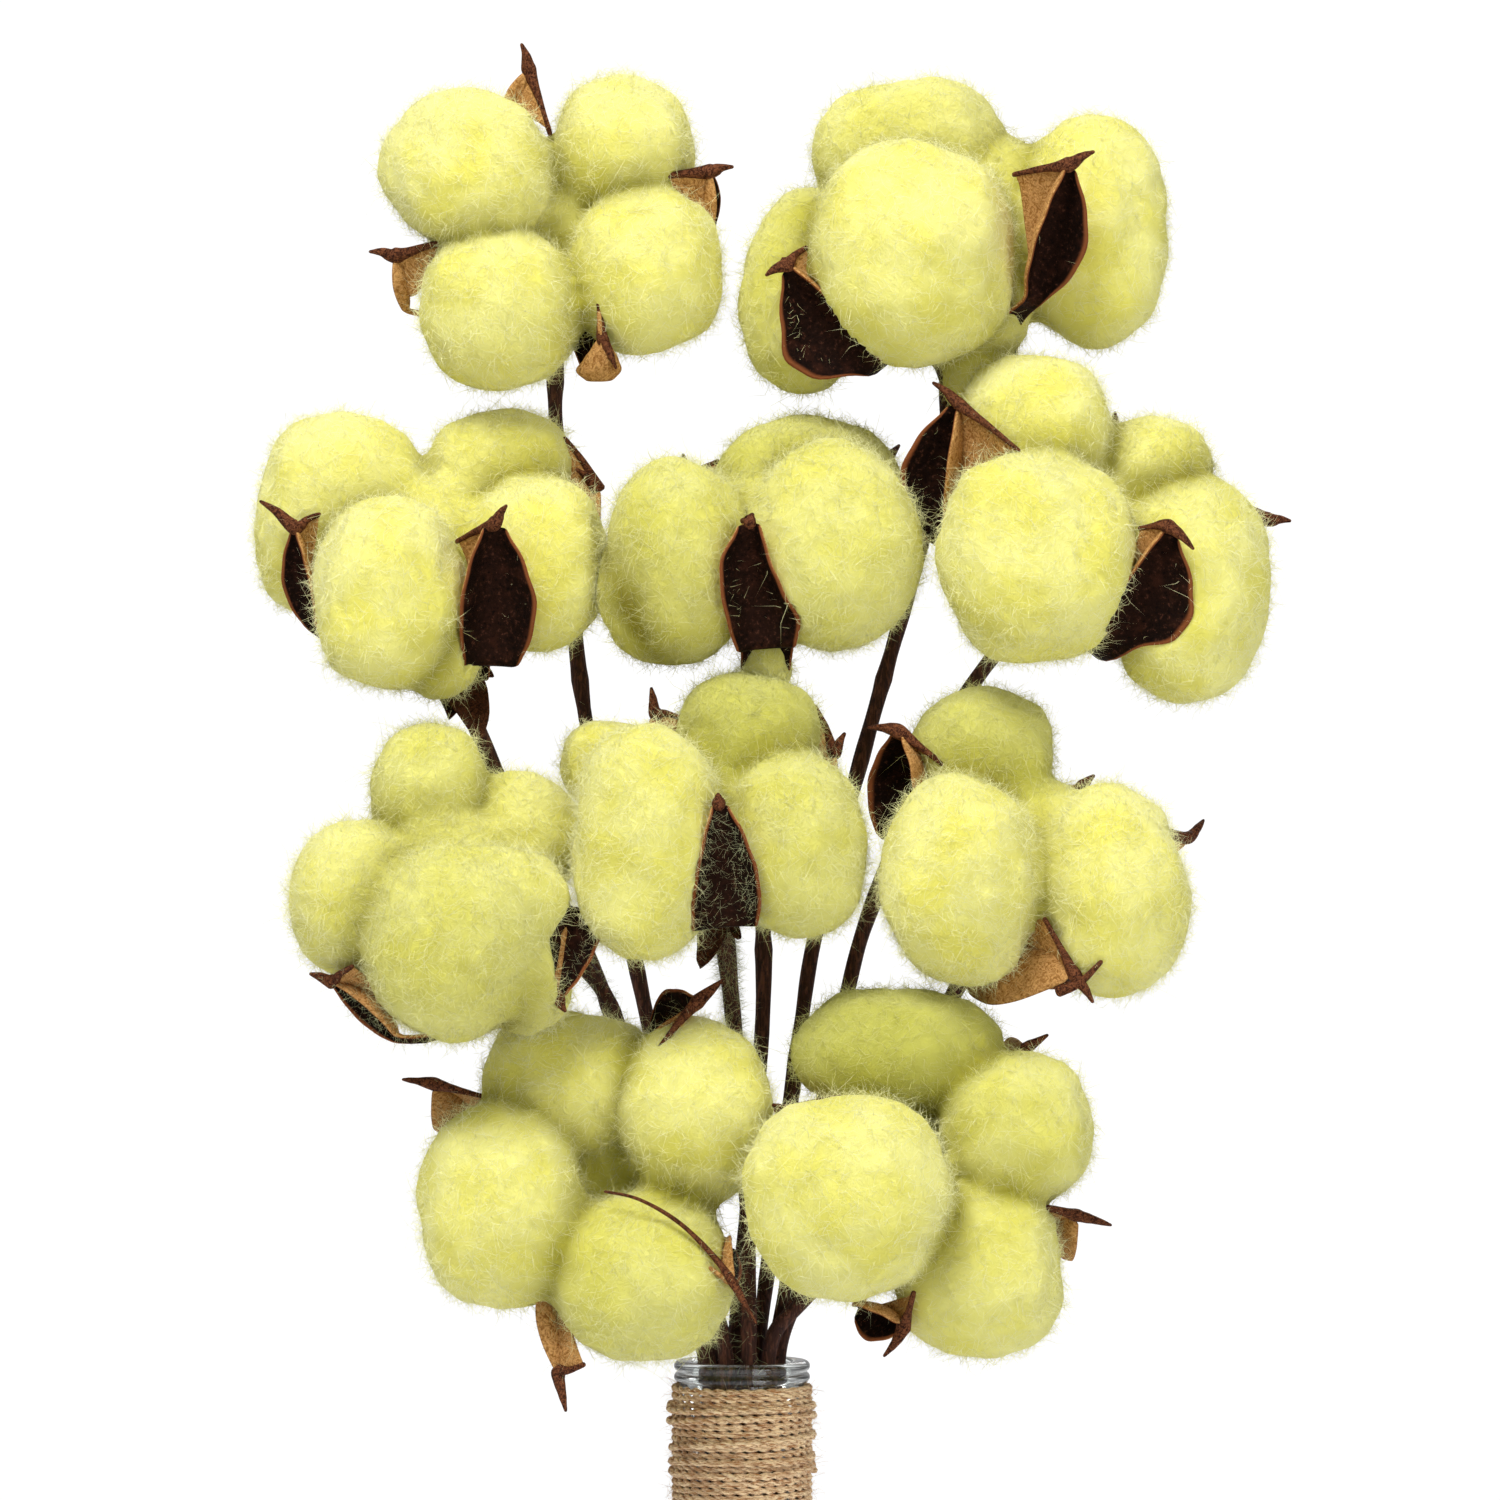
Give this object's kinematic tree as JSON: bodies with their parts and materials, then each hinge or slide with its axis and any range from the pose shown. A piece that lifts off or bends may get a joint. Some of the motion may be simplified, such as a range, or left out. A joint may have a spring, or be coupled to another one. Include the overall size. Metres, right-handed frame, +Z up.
{
  "type": "cotton stem bunch in a vase",
  "caption": "Bunch of single-boll dried cotton stems, dyed pale yellow, standing in a clear glass bottle vase whose neck is wound with jute twine.",
  "frame": {"origin": "centre of the vase's base, on the surface it stands on", "axes": "+Z up along the vase's axis, -Y towards the side the bunch is arranged to be seen from, +X to the right of that view"},
  "size_m": [0.2084, 0.1052, 0.4833],
  "materials": {
    "dyed_cotton": "matte",
    "dried_burr": "matte",
    "stem_bark": "matte",
    "clear_glass": "gloss",
    "jute_twine": "matte"
  },
  "bodies": {
    "root": {"burr_01": "dried_burr", "burr_02": "dried_burr", "burr_03": "dried_burr", "burr_04": "dried_burr", "burr_05": "dried_burr", "burr_06": "dried_burr", "burr_07": "dried_burr", "burr_08": "dried_burr", "burr_09": "dried_burr", "burr_10": "dried_burr", "cotton_01": "dyed_cotton", "cotton_02": "dyed_cotton", "cotton_03": "dyed_cotton", "cotton_04": "dyed_cotton", "cotton_05": "dyed_cotton", "cotton_06": "dyed_cotton", "cotton_07": "dyed_cotton", "cotton_08": "dyed_cotton", "cotton_09": "dyed_cotton", "cotton_10": "dyed_cotton", "glass_vase": "clear_glass", "jute_wrap": "jute_twine", "stem_01": "stem_bark", "stem_02": "stem_bark", "stem_03": "stem_bark", "stem_04": "stem_bark", "stem_05": "stem_bark", "stem_06": "stem_bark", "stem_07": "stem_bark", "stem_08": "stem_bark", "stem_09": "stem_bark", "stem_10": "stem_bark"}
  },
  "joints": []
}
